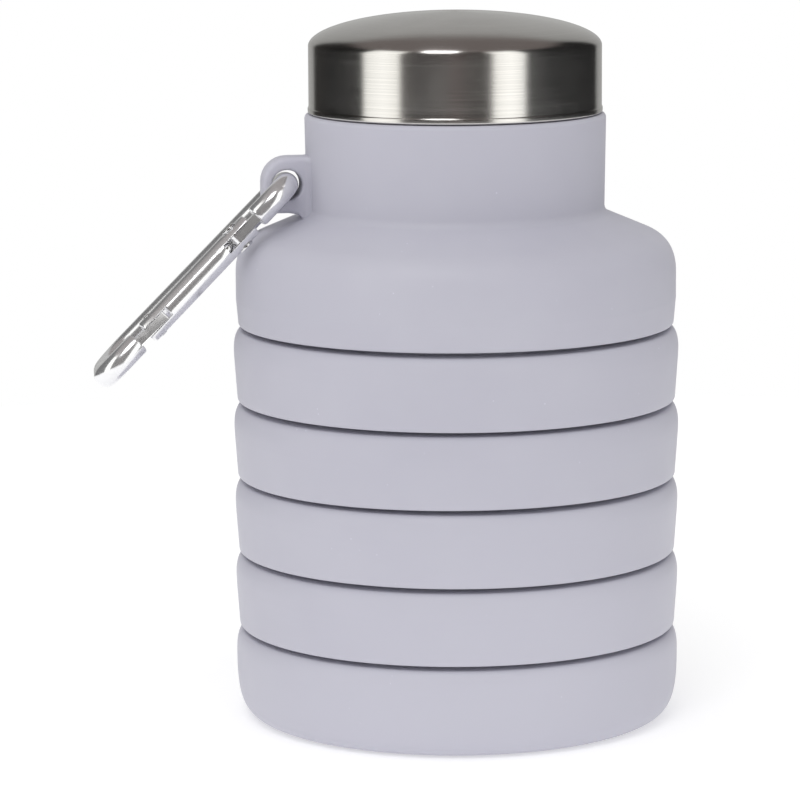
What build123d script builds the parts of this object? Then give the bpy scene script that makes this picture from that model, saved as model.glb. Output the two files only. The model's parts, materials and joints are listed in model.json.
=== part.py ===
"""Collapsible silicone bottle, folded short, with a steel screw lid and a small carabiner.

Millimetres, +Z up. The origin is the centre of the foot, on the surface the bottle stands on.
The bottle opens by lifting each band in turn; every web then snaps through its waist.
"""
import os
from math import acos, asin, atan2, cos, hypot, radians, sin, sqrt, tan

from build123d import *

os.makedirs("parts", exist_ok=True)

# Silicone body
body_radius = 37.6
band_taper = 0.55
base_height = 15.45
fold_pitch = 12.85
ring_count = 4
shoulder_height = 35.7
foot_radius = 32.1
foot_corner_height = 10.2
foot_corner_pull = 0.765
floor_thickness = 2.4
band_wall = 2.4

# Fold between two bands
slit = 0.6
fold_rise = 0.585 * fold_pitch
cone_lean = 4.0
cone_width = 1.8
web_width = 1.2
fold_gap = 0.4
web_cap = 1.1
crown_drop = 4.0
crown_in = 1.4

# Neck, lug and threaded insert
neck_radius = 25.1
neck_height = 15.8
neck_wall = 2.5
lip_round = 0.7
lip_flare = 0.2
lug_reach = 7.8
lug_height = 9.4
lug_drop = 11.42
lug_width = 5.0
lug_corner = 4.2
lug_eye_reach = 3.75
lug_eye_play = 0.55
insert_depth = 17.4
flange_out = 1.2
flange_height = 1.6
spout_step = 4.1
spout_wall = 2.5
spout_height = 10.3

# Screw thread
thread_lead = 4.0
thread_depth = 1.0
thread_root = 2.0
thread_crest = 1.0
thread_gap = 0.3
thread_rooting = 0.45
flank_gap = 0.2
spout_turns = 1.25
cap_turns = 1.5
thread_start = 3.6

# Lid
lid_step = 0.5
lid_side = 11.3
dome_height = 5.7
steel = 0.6
hem_in = 0.9
hem_bead = 0.15
lid_gap = 0.15
gasket_height = 0.9
disc_height = 1.4

# Carabiner
wire_radius = 2.0
hook_length = 47.4
hook_narrow = 16.0
hook_wide = 24.3
spine_out = 8.5
pivot_along = 12.0
gate_reach = 21.8
gate_over = 0.1
tongue_gap = 0.15
latch_gap = 0.2
head_height = 0.5
bore_gap = 0.1
spring_length = 6.0
spring_wire = 0.2
spring_coils = 5.5
shoulder_gap = 0.4
hook_roll = 6.6

# Levels and radii that follow from the sizes above
band_inner = body_radius - band_wall
cone_root = band_inner - web_width - fold_gap
top_interface = base_height + ring_count * fold_pitch
lip_level = top_interface + shoulder_height
neck_level = lip_level - neck_height
insert_level = lip_level - insert_depth
sleeve_radius = neck_radius - neck_wall
spout_radius = neck_radius - spout_step
bore_radius = spout_radius - spout_wall
lid_radius = neck_radius - lid_step
rim_level = lip_level + spout_height
crease_level = lip_level + lid_side
disc_level = rim_level + gasket_height
shell_inner = lid_radius - steel
cap_bore = spout_radius + thread_depth + thread_gap
flank_slope = (thread_root - thread_crest) / (2 * thread_depth)
root_half = thread_root / 2 + thread_rooting * flank_slope
lug_level = lip_level - lug_drop
lug_out = neck_radius + lug_reach
lug_hole_out = neck_radius + lug_eye_reach
lug_hole_radius = wire_radius + lug_eye_play

# Carabiner details in proportion to its wire
gate_radius = wire_radius + gate_over
gate_back = 1.55 * wire_radius
step_back = 2.3 * wire_radius
nose_start = gate_reach + 1.05 * wire_radius
tongue = 0.75 * wire_radius
slot_in = 1.45 * wire_radius
latch_slot = 2.5 * wire_radius
latch_at = gate_reach - 0.95 * wire_radius
rivet_radius = 0.35 * wire_radius
rivet_head = 0.65 * wire_radius
rivet_flat = gate_radius - 0.25
tenon_back = 0.7 * wire_radius
tenon_radius = 0.75 * wire_radius
tenon_offset = 0.25 * wire_radius
plunger_radius = 0.475 * wire_radius
plunger_length = 1.05 * wire_radius
tenon_root = step_back + 0.6 * wire_radius
tenon_top = 0.75 * wire_radius
tongue_root = 0.6 * wire_radius

# The carabiner leans out until its wire clears the rounded corner of the shoulder
corner_turn = 7.5
hook_half = hook_wide / 3
corner_out = sqrt((body_radius - 0.5) ** 2 - hook_half**2) - corner_turn
corner_level = neck_level - 10.84
corner_drop = lug_level - corner_level
corner_ahead = corner_out - lug_hole_out
roll = radians(hook_roll)
clearance = corner_turn + wire_radius + hook_half * sin(roll) + shoulder_gap
hang = atan2(corner_drop, corner_ahead) - asin(clearance / hypot(corner_drop, corner_ahead))


def fold_crown(z, low):
    """Rounded crown, ledge, cone and waist rim of a lower band; z is the interface above it."""
    ledge = z - slit / 2
    crown = ThreePointArc(
        (body_radius, z - crown_drop),
        (body_radius - 0.24 * crown_in, z - 0.5 * crown_drop),
        (body_radius - crown_in, ledge - 0.25),
    )
    lean = cone_lean / fold_rise
    root_low = z - 1.9
    Polyline(
        crown @ 1,
        (cone_root + lean * slit / 2, ledge),
        (cone_root - cone_lean, z + fold_rise),
        (cone_root - cone_lean - cone_width, z + fold_rise),
        (cone_root - cone_width + lean * 1.9, root_low),
        (band_inner, z - 3.5),
        low,
    )
    return crown


# Base cup
with BuildPart() as base_cup:
    with BuildSketch(Plane.XZ) as base_outline:
        with BuildLine() as base_line:
            Polyline((0, floor_thickness), (0, 0), (foot_radius, 0))
            outer_corner = Bezier(
                (foot_radius, 0),
                (foot_radius + foot_corner_pull * (body_radius - foot_radius), 0),
                (body_radius, foot_corner_height * (1 - foot_corner_pull)),
                (body_radius, foot_corner_height),
            )
            Line((body_radius, foot_corner_height), (body_radius, base_height - crown_drop))
            fold_crown(base_height, (band_inner, foot_corner_height))
            inner_corner = EllipticalCenterArc(
                (foot_radius, foot_corner_height),
                band_inner - foot_radius,
                foot_corner_height - floor_thickness,
                start_angle=270,
                arc_size=90,
            )
            Line((foot_radius, floor_thickness), (0, floor_thickness))
        make_face()
    revolve(axis=Axis.Z)
base_cup.part.label = "base_cup"
export_step(base_cup.part, "parts/base_cup.step")

# Bands, numbered from the top
for index in range(ring_count):
    name = "ring_%d" % (ring_count - index)
    bottom = base_height + index * fold_pitch
    top = bottom + fold_pitch
    with BuildPart() as ring:
        with BuildSketch(Plane.XZ):
            with BuildLine():
                foot = bottom + slit / 2
                Polyline(
                    (band_inner, foot),
                    (body_radius - band_taper, foot),
                    (body_radius, top - crown_drop - 1.2),
                )
                Line((body_radius, top - crown_drop - 1.2), (body_radius, top - crown_drop))
                fold_crown(top, (band_inner, foot))
            make_face()
        revolve(axis=Axis.Z)
    ring.part.label = name
    export_step(ring.part, "parts/%s.step" % name)

# Fold webs, numbered from the top; each hangs from the waist of the band below it
for index in range(ring_count + 1):
    name = "fold_web_%d" % (ring_count + 1 - index)
    level = base_height + index * fold_pitch
    waist = level + fold_rise
    rim_out = cone_root - cone_lean
    rim_in = rim_out - cone_width
    foot = level + slit / 2
    foot_inner = cone_root - cone_lean / fold_rise * slit / 2 + fold_gap
    with BuildPart() as web:
        with BuildSketch(Plane.XZ):
            with BuildLine():
                Polyline(
                    (band_inner, foot),
                    (band_inner, foot + 0.6),
                    (rim_out + fold_gap + 1.0, waist + 0.5),
                    (rim_out + fold_gap + 0.4, waist + web_cap),
                    (rim_in + 0.4, waist + web_cap),
                    (rim_in, waist + web_cap - 0.4),
                    (rim_in, waist),
                    (rim_out + fold_gap, waist),
                    (foot_inner, foot),
                    close=True,
                )
            make_face()
        revolve(axis=Axis.Z)
    web.part.label = name
    export_step(web.part, "parts/%s.step" % name)

# Shoulder, neck sleeve and lug
with BuildPart() as shoulder:
    with BuildSketch(Plane.XZ):
        with BuildLine():
            foot = top_interface + slit / 2
            Polyline(
                (band_inner, foot),
                (body_radius - 0.85, foot),
                (body_radius - 0.45, top_interface + 4.7),
                (body_radius - 0.5, top_interface + 9.2),
            )
            corner = ThreePointArc(
                (body_radius - 0.5, top_interface + 9.2),
                (body_radius - 1.5, neck_level - 7.1),
                (body_radius - 4.0, neck_level - 4.5),
            )
            slope = Line(corner @ 1, (neck_radius + 1.7, neck_level - 1.5))
            root = ThreePointArc(
                slope @ 1,
                (neck_radius + 0.35, neck_level - 0.6),
                (neck_radius - 0.1, neck_level + 0.6),
            )
            side = Line(root @ 1, (neck_radius + lip_flare, lip_level - lip_round))
            lip = ThreePointArc(
                side @ 1,
                (neck_radius + lip_flare - 0.3 * lip_round, lip_level - 0.3 * lip_round),
                (neck_radius + lip_flare - lip_round, lip_level),
            )
            Polyline(
                lip @ 1,
                (sleeve_radius, lip_level),
                (sleeve_radius, insert_level + flange_height),
                (sleeve_radius + flange_out, insert_level + flange_height),
                (sleeve_radius + flange_out, insert_level),
                (bore_radius + 2.0, insert_level),
                (bore_radius + 2.0, insert_level - 2.0),
                (neck_radius + 1.0, insert_level - 3.2),
                (body_radius - 5.2, neck_level - 7.0),
            )
            ThreePointArc(
                (body_radius - 5.2, neck_level - 7.0),
                (body_radius - 3.6, neck_level - 8.6),
                (body_radius - 2.9, top_interface + 9.2),
            )
            Polyline(
                (body_radius - 2.9, top_interface + 9.2),
                (band_inner, top_interface + 5.0),
                (band_inner, foot),
            )
        make_face()
    revolve(axis=Axis.Z)
    lug_in = neck_radius - 1.1
    with BuildSketch(Plane.XZ):
        with Locations((-(lug_out + lug_in) / 2, lug_level)):
            Rectangle(lug_out - lug_in, lug_height)
        with Locations((-lug_hole_out, lug_level)):
            Circle(lug_hole_radius, mode=Mode.SUBTRACT)
    extrude(amount=lug_width / 2, both=True)
    lug_corners = shoulder.edges().filter_by(Axis.Y).group_by(Axis.X)[0]
    fillet(lug_corners, lug_corner)
shoulder.part.label = "shoulder"
export_step(shoulder.part, "parts/shoulder.step")

# Threaded insert moulded into the neck
with BuildPart() as neck_insert:
    with BuildSketch(Plane.XZ):
        with BuildLine():
            Polyline(
                (bore_radius, insert_level),
                (sleeve_radius + flange_out, insert_level),
                (sleeve_radius + flange_out, insert_level + flange_height),
                (sleeve_radius, insert_level + flange_height),
                (sleeve_radius, lip_level),
                (spout_radius, lip_level),
                (spout_radius, rim_level - 0.4),
                (spout_radius - 0.4, rim_level),
                (bore_radius + 0.4, rim_level),
                (bore_radius, rim_level - 0.4),
                close=True,
            )
        make_face()
    revolve(axis=Axis.Z)
    spout_start = lip_level + thread_start
    with BuildLine() as spout_helix:
        Helix(thread_lead, spout_turns * thread_lead, spout_radius, center=(0, 0, spout_start))
    with BuildSketch(Plane(origin=spout_helix.line @ 0, x_dir=(1, 0, 0), z_dir=spout_helix.line % 0)):
        with BuildLine():
            Polyline(
                (-thread_rooting, -root_half),
                (thread_depth, -thread_crest / 2),
                (thread_depth, thread_crest / 2),
                (-thread_rooting, root_half),
                close=True,
            )
        make_face()
    sweep(path=spout_helix.line, is_frenet=True)
neck_insert.part.label = "neck_insert"
export_step(neck_insert.part, "parts/neck_insert.step")

# Lid shell
with BuildPart() as lid_shell:
    shell_foot = lip_level + lid_gap
    with BuildSketch(Plane.XZ):
        with BuildLine():
            Polyline(
                (lid_radius, crease_level),
                (lid_radius, shell_foot + 1.0),
                (lid_radius + hem_bead, shell_foot + 0.8),
                (lid_radius + hem_bead, shell_foot + 0.1),
                (lid_radius + hem_bead - 0.1, shell_foot),
                (shell_inner - hem_in, shell_foot),
                (shell_inner - hem_in, shell_foot + steel),
                (shell_inner, shell_foot + steel),
                (shell_inner, crease_level),
            )
            outer = EllipticalCenterArc(
                (0, crease_level),
                lid_radius,
                dome_height,
                start_angle=0,
                arc_size=88,
            )
            inner = EllipticalCenterArc(
                (0, crease_level),
                shell_inner,
                dome_height - steel,
                start_angle=0,
                arc_size=88,
            )
            Polyline(outer @ 1, (0, (outer @ 1).Y), (0, (inner @ 1).Y), inner @ 1)
        make_face()
    revolve(axis=Axis.Z)
lid_shell.part.label = "lid_shell"
export_step(lid_shell.part, "parts/lid_shell.step")

# Lid liner with the internal thread
with BuildPart() as lid_liner:
    liner_foot = shell_foot + steel
    with BuildSketch(Plane.XZ):
        with BuildLine():
            Polyline(
                (cap_bore, liner_foot),
                (shell_inner, liner_foot),
                (shell_inner, crease_level - 0.1),
                (shell_inner - 1.2, disc_level + disc_height),
                (0, disc_level + disc_height),
                (0, disc_level),
                (cap_bore, disc_level),
                close=True,
            )
        make_face()
    revolve(axis=Axis.Z)
    mid_share = (thread_root + thread_crest) / 2
    cap_start = spout_start - mid_share - flank_gap
    with BuildLine() as cap_helix:
        Helix(thread_lead, cap_turns * thread_lead, cap_bore, center=(0, 0, cap_start))
    with BuildSketch(Plane(origin=cap_helix.line @ 0, x_dir=(1, 0, 0), z_dir=cap_helix.line % 0)):
        with BuildLine():
            Polyline(
                (thread_rooting, -root_half),
                (-thread_depth, -thread_crest / 2),
                (-thread_depth, thread_crest / 2),
                (thread_rooting, root_half),
                close=True,
            )
        make_face()
    sweep(path=cap_helix.line, is_frenet=True)
lid_liner.part.label = "lid_liner"
export_step(lid_liner.part, "parts/lid_liner.step")

# Gasket between the rim of the spout and the liner
with BuildPart() as lid_gasket:
    with BuildSketch(Plane.XY.offset(rim_level)):
        Circle(cap_bore - thread_gap)
        Circle(bore_radius + 0.4, mode=Mode.SUBTRACT)
    extrude(amount=gasket_height)
lid_gasket.part.label = "lid_gasket"
export_step(lid_gasket.part, "parts/lid_gasket.step")

# Carabiner planes: x runs along the hook from the lug, y across it, z out of its flat side
along = Vector(-cos(hang), 0, -sin(hang))
across = Vector(0, 1, 0)
flat = Vector(sin(hang), 0, -cos(hang)) * cos(roll) - across * sin(roll)
hook_plane = Plane(origin=(-lug_hole_out, 0, lug_level), x_dir=along, z_dir=flat)
narrow_half = hook_narrow / 2 - wire_radius
far_end = hook_length - 2 * wire_radius
gate_side_far = spine_out - (hook_wide - 2 * wire_radius)
gate_slant = (gate_side_far + narrow_half) / far_end
gate_unit = hypot(1, gate_slant)
wire_left = (far_end - pivot_along) * gate_unit - nose_start
wide_bend = 0.9 * wire_left * tan((radians(90) + atan2(gate_slant, 1)) / 2)
narrow_bend = 0.7 * narrow_half
pivot_across = -narrow_half + gate_slant * pivot_along
gate_x = (hook_plane.x_dir + hook_plane.y_dir * gate_slant).normalized()
pivot_point = hook_plane.from_local_coords((pivot_along, pivot_across, 0))
gate_plane = Plane(origin=pivot_point, x_dir=gate_x, z_dir=flat)


def on_gate_line(distance):
    """Point of the hook plane at this distance along the gate from the pivot."""
    step = distance / gate_unit
    return (pivot_along + step, pivot_across + gate_slant * step)


def round_corner(before, corner, after, radius):
    """Start, middle and end of the arc that rounds the corner."""
    a = Vector(before[0] - corner[0], before[1] - corner[1]).normalized()
    b = Vector(after[0] - corner[0], after[1] - corner[1]).normalized()
    half = acos(a.dot(b)) / 2
    point = Vector(corner[0], corner[1])
    bisector = (a + b).normalized()
    start = point + a * (radius / tan(half))
    end = point + b * (radius / tan(half))
    middle = point + bisector * (radius / sin(half) - radius)
    return [(spot.X, spot.Y) for spot in (start, middle, end)]


# Carabiner frame
with BuildPart() as carabiner_frame:
    nose_end = on_gate_line(nose_start)
    stub_end = on_gate_line(-step_back)
    far_gate = (far_end, gate_side_far)
    far_spine = (far_end, spine_out)
    near_spine = (0, narrow_half)
    near_gate = (0, -narrow_half)
    bend_1 = round_corner(nose_end, far_gate, far_spine, wide_bend)
    bend_2 = round_corner(far_gate, far_spine, near_spine, wide_bend)
    bend_3 = round_corner(far_spine, near_spine, near_gate, narrow_bend)
    bend_4 = round_corner(near_spine, near_gate, stub_end, narrow_bend)
    with BuildLine(hook_plane) as wire_path:
        Line(nose_end, bend_1[0])
        ThreePointArc(bend_1[0], bend_1[1], bend_1[2])
        Line(bend_1[2], bend_2[0])
        ThreePointArc(bend_2[0], bend_2[1], bend_2[2])
        Line(bend_2[2], bend_3[0])
        ThreePointArc(bend_3[0], bend_3[1], bend_3[2])
        Line(bend_3[2], bend_4[0])
        ThreePointArc(bend_4[0], bend_4[1], bend_4[2])
        Line(bend_4[2], stub_end)
    wire_wire = wire_path.wires()[0]
    with BuildSketch(Plane(origin=wire_wire @ 0, z_dir=wire_wire % 0)):
        Circle(wire_radius)
    sweep(path=wire_wire)
    with BuildSketch(gate_plane):
        with Locations((-tenon_root / 2, (tenon_top - tenon_back) / 2)):
            Rectangle(tenon_root, tenon_top + tenon_back)
        Circle(tenon_back)
        with Locations((0, tenon_offset)):
            Circle(tenon_radius)
        Circle(rivet_radius + bore_gap, mode=Mode.SUBTRACT)
    extrude(amount=tongue / 2, both=True)
    with BuildSketch(gate_plane):
        with BuildLine():
            tip = latch_at - rivet_radius - latch_gap
            shelf = -rivet_radius - 0.12
            back = latch_at + rivet_radius + latch_gap
            Polyline(
                (tip - 0.7 * wire_radius, -0.9 * wire_radius),
                (nose_start - 0.3, -0.9 * wire_radius),
                (nose_start, -0.75 * wire_radius),
                (nose_start + tongue_root, -0.75 * wire_radius),
                (nose_start + tongue_root, 0.75 * wire_radius),
                (nose_start, 0.75 * wire_radius),
                (back, 0.55 * wire_radius),
                (back, shelf),
                (tip, shelf),
                (tip, 0.2 * wire_radius),
                (tip - 0.45 * wire_radius, 0.2 * wire_radius),
                (tip - 0.7 * wire_radius, -0.05 * wire_radius),
                close=True,
            )
        make_face()
    extrude(amount=tongue / 2, both=True)
carabiner_frame.part.label = "carabiner_frame"
export_step(carabiner_frame.part, "parts/carabiner_frame.step")

# Carabiner gate
with BuildPart() as carabiner_gate:
    gate_length = gate_back + gate_reach
    gate_axis = Plane(origin=gate_plane.from_local_coords((-gate_back, 0, 0)), z_dir=gate_plane.x_dir)
    with BuildSketch(gate_axis):
        Circle(gate_radius)
    extrude(amount=gate_length)
    chamfer(carabiner_gate.edges().filter_by(GeomType.CIRCLE), 0.35)
    slot_half = tongue / 2 + tongue_gap
    with BuildSketch(gate_plane):
        with Locations(((slot_in - gate_back) / 2 - 0.5, 0)):
            Rectangle(slot_in + gate_back + 1.0, 3 * gate_radius)
        with Locations((gate_reach - latch_slot / 2 + 0.5, 0)):
            Rectangle(latch_slot + 1.0, 3 * gate_radius)
    extrude(amount=slot_half, both=True, mode=Mode.SUBTRACT)
    with BuildSketch(gate_plane):
        Circle(rivet_radius)
        with Locations((latch_at, 0)):
            Circle(rivet_radius)
    extrude(amount=2 * gate_radius, both=True, mode=Mode.SUBTRACT)
    for side in (1, -1):
        with BuildSketch(gate_plane.offset(side * rivet_flat)):
            Circle(rivet_head + 0.1)
        extrude(amount=side * gate_radius, mode=Mode.SUBTRACT)
    bore_mouth = slot_in - 2.0
    bore_plane = Plane(origin=gate_plane.from_local_coords((bore_mouth, 0, 0)), z_dir=gate_plane.x_dir)
    bore_depth = plunger_length + spring_length + 1.6
    with BuildSketch(bore_plane):
        Circle(plunger_radius + bore_gap)
    extrude(amount=bore_depth, mode=Mode.SUBTRACT)
carabiner_gate.part.label = "carabiner_gate"
export_step(carabiner_gate.part, "parts/carabiner_gate.step")

# Pivot rivet, headed on both faces
with BuildPart() as gate_pivot_rivet:
    with BuildSketch(gate_plane):
        Circle(rivet_radius)
    extrude(amount=rivet_flat, both=True)
    for side in (1, -1):
        with BuildSketch(gate_plane.offset(side * rivet_flat)):
            Circle(rivet_head)
        extrude(amount=side * head_height, taper=20)
gate_pivot_rivet.part.label = "gate_pivot_rivet"
export_step(gate_pivot_rivet.part, "parts/gate_pivot_rivet.step")

# Latch rivet that drops behind the hook of the nose
with BuildPart() as gate_latch_rivet:
    latch_plane = Plane(origin=gate_plane.from_local_coords((latch_at, 0, 0)), x_dir=gate_x, z_dir=flat)
    with BuildSketch(latch_plane):
        Circle(rivet_radius)
    extrude(amount=gate_radius + 0.05, both=True)
gate_latch_rivet.part.label = "gate_latch_rivet"
export_step(gate_latch_rivet.part, "parts/gate_latch_rivet.step")

# Plunger, resting on the off-centre tip of the tenon
plunger_seat = (tenon_radius + plunger_radius) ** 2 - tenon_offset ** 2
ball_at = plunger_seat ** 0.5 + 0.05
plunger_end = ball_at + plunger_length
with BuildPart() as gate_plunger:
    plunger_plane = Plane(origin=gate_plane.from_local_coords((ball_at, 0, 0)), z_dir=gate_plane.x_dir)
    with BuildSketch(plunger_plane):
        Circle(plunger_radius)
    extrude(amount=plunger_length)
    with Locations(plunger_plane):
        Sphere(plunger_radius)
gate_plunger.part.label = "gate_plunger"
export_step(gate_plunger.part, "parts/gate_plunger.step")

# Spring behind the plunger
with BuildPart() as gate_spring:
    coil_radius = plunger_radius - spring_wire
    bore_end = bore_mouth + bore_depth
    spring_start = plunger_end + spring_wire
    spring_run = bore_end - spring_wire - spring_start
    spring_base = gate_plane.from_local_coords((spring_start, 0, 0))
    with BuildLine() as coil:
        Helix(
            spring_run / spring_coils,
            spring_run,
            coil_radius,
            center=tuple(spring_base),
            direction=tuple(gate_x),
        )
    with BuildSketch(Plane(origin=coil.line @ 0, z_dir=coil.line % 0)):
        Circle(spring_wire)
    sweep(path=coil.line, is_frenet=True)
gate_spring.part.label = "gate_spring"
export_step(gate_spring.part, "parts/gate_spring.step")
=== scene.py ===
"""Looks for the collapsible silicone bottle with its steel screw lid and carabiner.

Profiles are in millimetres and turned into metres as meshes are made. Heights and radii
come from the boxes of the CAD nodes and from the joints in the record.
"""
import json
import math

import bmesh
import bpy
from mathutils import Matrix, Vector


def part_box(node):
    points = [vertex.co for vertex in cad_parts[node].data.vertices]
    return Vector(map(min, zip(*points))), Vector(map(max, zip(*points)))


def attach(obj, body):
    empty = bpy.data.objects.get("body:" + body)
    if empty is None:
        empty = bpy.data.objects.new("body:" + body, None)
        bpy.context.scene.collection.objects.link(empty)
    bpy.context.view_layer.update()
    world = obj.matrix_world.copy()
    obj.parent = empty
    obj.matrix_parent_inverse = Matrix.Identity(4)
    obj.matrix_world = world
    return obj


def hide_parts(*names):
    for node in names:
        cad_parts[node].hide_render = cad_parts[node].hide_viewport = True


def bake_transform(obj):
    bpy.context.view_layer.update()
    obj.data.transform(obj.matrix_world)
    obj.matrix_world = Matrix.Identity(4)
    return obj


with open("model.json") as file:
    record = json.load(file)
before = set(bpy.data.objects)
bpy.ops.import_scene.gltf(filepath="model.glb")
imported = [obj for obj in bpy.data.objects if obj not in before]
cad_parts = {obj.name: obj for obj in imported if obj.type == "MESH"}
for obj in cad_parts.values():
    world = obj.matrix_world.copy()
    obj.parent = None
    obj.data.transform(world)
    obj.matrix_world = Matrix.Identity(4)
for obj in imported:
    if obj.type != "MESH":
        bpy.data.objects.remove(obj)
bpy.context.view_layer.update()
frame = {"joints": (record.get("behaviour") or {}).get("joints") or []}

MM = 0.001
JOINTS = {joint["name"]: joint for joint in frame["joints"]}


def low(node):
    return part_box(node)[0] / MM


def high(node):
    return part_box(node)[1] / MM


# ---------------------------------------------------------------- sizes taken from the frame
BODY_R = high("ring_4").x
PITCH = low("ring_3").z - low("ring_4").z
SLIT = 0.6
RISE = 0.585 * PITCH
BASE_TOP = low("ring_4").z - SLIT / 2
TOP_FOLD = low("shoulder").z - SLIT / 2
LIP = high("shoulder").z
RIM = high("neck_insert").z
LID_LOW = low("lid_shell").z
LID_TOP = high("lid_shell").z
LID_R = high("lid_shell").x - 0.15
CREASE = LID_TOP - 5.7
INSERT_LOW = low("neck_insert").z
BAND_IN = BODY_R - 2.4
NECK_R = 25.1
NECK_Z = LIP - 15.8
HOOK_AT = Vector(JOINTS["hook_swing"]["pos_m"]) / MM
PIVOT = Vector(JOINTS["gate_open"]["pos_m"]) / MM
FLAT = Vector(JOINTS["gate_open"]["axis"]).normalized()
GATE_X = Vector(JOINTS["plunger_press"]["axis"]).normalized()
ALONG = Vector((0, 1, 0)).cross(FLAT).normalized()
ACROSS = FLAT.cross(ALONG).normalized()
GATE_Y = FLAT.cross(GATE_X).normalized()


# ---------------------------------------------------------------- mesh helpers
def link(name, verts, faces, smooth=True):
    """A mesh object from points in millimetres."""
    mesh = bpy.data.meshes.new(name)
    mesh.from_pydata([Vector(v) * MM for v in verts], [], faces)
    mesh.validate()
    mesh.update()
    bm = bmesh.new()
    bm.from_mesh(mesh)
    bmesh.ops.recalc_face_normals(bm, faces=bm.faces)
    bm.to_mesh(mesh)
    bm.free()
    for polygon in mesh.polygons:
        polygon.use_smooth = smooth
    obj = bpy.data.objects.new(name, mesh)
    bpy.context.scene.collection.objects.link(obj)
    return obj


def rounded(points, steps=5):
    """Round each corner (a, b, radius) of a closed outline; a missing radius keeps it sharp."""
    out = []
    count = len(points)
    for i, point in enumerate(points):
        here = Vector(point[:2])
        radius = point[2] if len(point) > 2 else 0
        before = Vector(points[i - 1][:2]) - here
        after = Vector(points[(i + 1) % count][:2]) - here
        if radius <= 0 or before.length < 1e-6 or after.length < 1e-6:
            out.append(tuple(here))
            continue
        a, b = before.normalized(), after.normalized()
        half = math.acos(max(-1, min(1, a.dot(b)))) / 2
        if half > math.pi / 2 - 0.01:
            out.append(tuple(here))
            continue
        reach = min(radius / math.tan(half), 0.48 * before.length, 0.48 * after.length)
        radius = reach * math.tan(half)
        start, end = here + a * reach, here + b * reach
        centre = here + (a + b).normalized() * (radius / math.sin(half))
        v0, v1 = start - centre, end - centre
        turn = math.atan2(v0.x * v1.y - v0.y * v1.x, v0.dot(v1))
        for k in range(steps + 1):
            t = turn * k / steps
            c, s = math.cos(t), math.sin(t)
            out.append((centre.x + v0.x * c - v0.y * s, centre.y + v0.x * s + v0.y * c))
    return out


def divide(points, longest):
    """Split the long sides of a closed outline."""
    out = []
    for i, p in enumerate(points):
        q = points[(i + 1) % len(points)]
        pieces = max(1, math.ceil(math.hypot(q[0] - p[0], q[1] - p[1]) / longest))
        for k in range(pieces):
            t = k / pieces
            out.append((p[0] + (q[0] - p[0]) * t, p[1] + (q[1] - p[1]) * t))
    return out


def lathe(name, outline, around=224, wobble=None):
    """Turn a closed (radius, height) outline about the bottle's axis."""
    verts, faces, rows = [], [], []
    for r, z in outline:
        if r < 1e-4:
            rows.append([len(verts)] * around)
            verts.append((0, 0, z))
            continue
        row = []
        for k in range(around):
            angle = 2 * math.pi * k / around
            dr, dz = wobble(r, z, angle) if wobble else (0, 0)
            row.append(len(verts))
            verts.append(((r + dr) * math.cos(angle), (r + dr) * math.sin(angle), z + dz))
        rows.append(row)
    for i, row in enumerate(rows):
        other = rows[(i + 1) % len(rows)]
        for k in range(around):
            n = (k + 1) % around
            face = []
            for v in (row[k], row[n], other[n], other[k]):
                if v not in face:
                    face.append(v)
            if len(face) > 2:
                faces.append(face)
    return link(name, verts, faces)


def tube(name, centres, radii, side, segments=40):
    """A round bar along a flat path; side is the path plane's normal. Both ends are closed."""
    verts, faces = [], []
    total = len(centres)
    for i, centre in enumerate(centres):
        ahead = centres[min(i + 1, total - 1)] - centres[max(i - 1, 0)]
        lateral = side.cross(ahead.normalized()).normalized()
        for k in range(segments):
            angle = 2 * math.pi * k / segments
            verts.append(centre + (lateral * math.cos(angle) + side * math.sin(angle)) * radii[i])
    for i in range(total - 1):
        for k in range(segments):
            n = (k + 1) % segments
            a, b = i * segments, (i + 1) * segments
            faces.append((a + k, a + n, b + n, b + k))
    faces.append(tuple(range(segments)))
    faces.append(tuple(range((total - 1) * segments, total * segments)))
    return link(name, verts, faces)


def turned(name, outline, origin, axis, around=40):
    """Turn a closed (radius, distance) outline about any axis."""
    axis = axis.normalized()
    side = axis.orthogonal().normalized()
    third = axis.cross(side)
    verts, faces, rows = [], [], []
    for r, d in outline:
        if r < 1e-4:
            rows.append([len(verts)] * around)
            verts.append(origin + axis * d)
            continue
        rows.append(list(range(len(verts), len(verts) + around)))
        for k in range(around):
            angle = 2 * math.pi * k / around
            spoke = side * math.cos(angle) + third * math.sin(angle)
            verts.append(origin + axis * d + spoke * r)
    for i, row in enumerate(rows):
        other = rows[(i + 1) % len(rows)]
        for k in range(around):
            n = (k + 1) % around
            face = []
            for v in (row[k], row[n], other[n], other[k]):
                if v not in face:
                    face.append(v)
            if len(face) > 2:
                faces.append(face)
    return link(name, verts, faces)


def plate(name, outline, half, origin, x_dir, y_dir):
    """A flat plate of a closed 2-D outline, half thick each way."""
    normal = x_dir.cross(y_dir)
    count = len(outline)
    verts = []
    for level in (-half, half):
        for x, y in outline:
            verts.append(origin + x_dir * x + y_dir * y + normal * level)
    faces = [tuple(range(count)), tuple(range(count, 2 * count))]
    for k in range(count):
        n = (k + 1) % count
        faces.append((k, n, n + count, k + count))
    return link(name, verts, faces, smooth=False)


def combine(obj, other, operation):
    """Boolean with another closed mesh, applied, and the other one removed."""
    modifier = obj.modifiers.new("cut", "BOOLEAN")
    modifier.operation = operation
    modifier.solver = "EXACT"
    modifier.object = other
    apply_modifiers(obj)
    bpy.data.objects.remove(other)
    return obj


def apply_modifiers(obj):
    bpy.context.view_layer.update()
    graph = bpy.context.evaluated_depsgraph_get()
    mesh = bpy.data.meshes.new_from_object(obj.evaluated_get(graph))
    obj.modifiers.clear()
    obj.data = mesh


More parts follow.
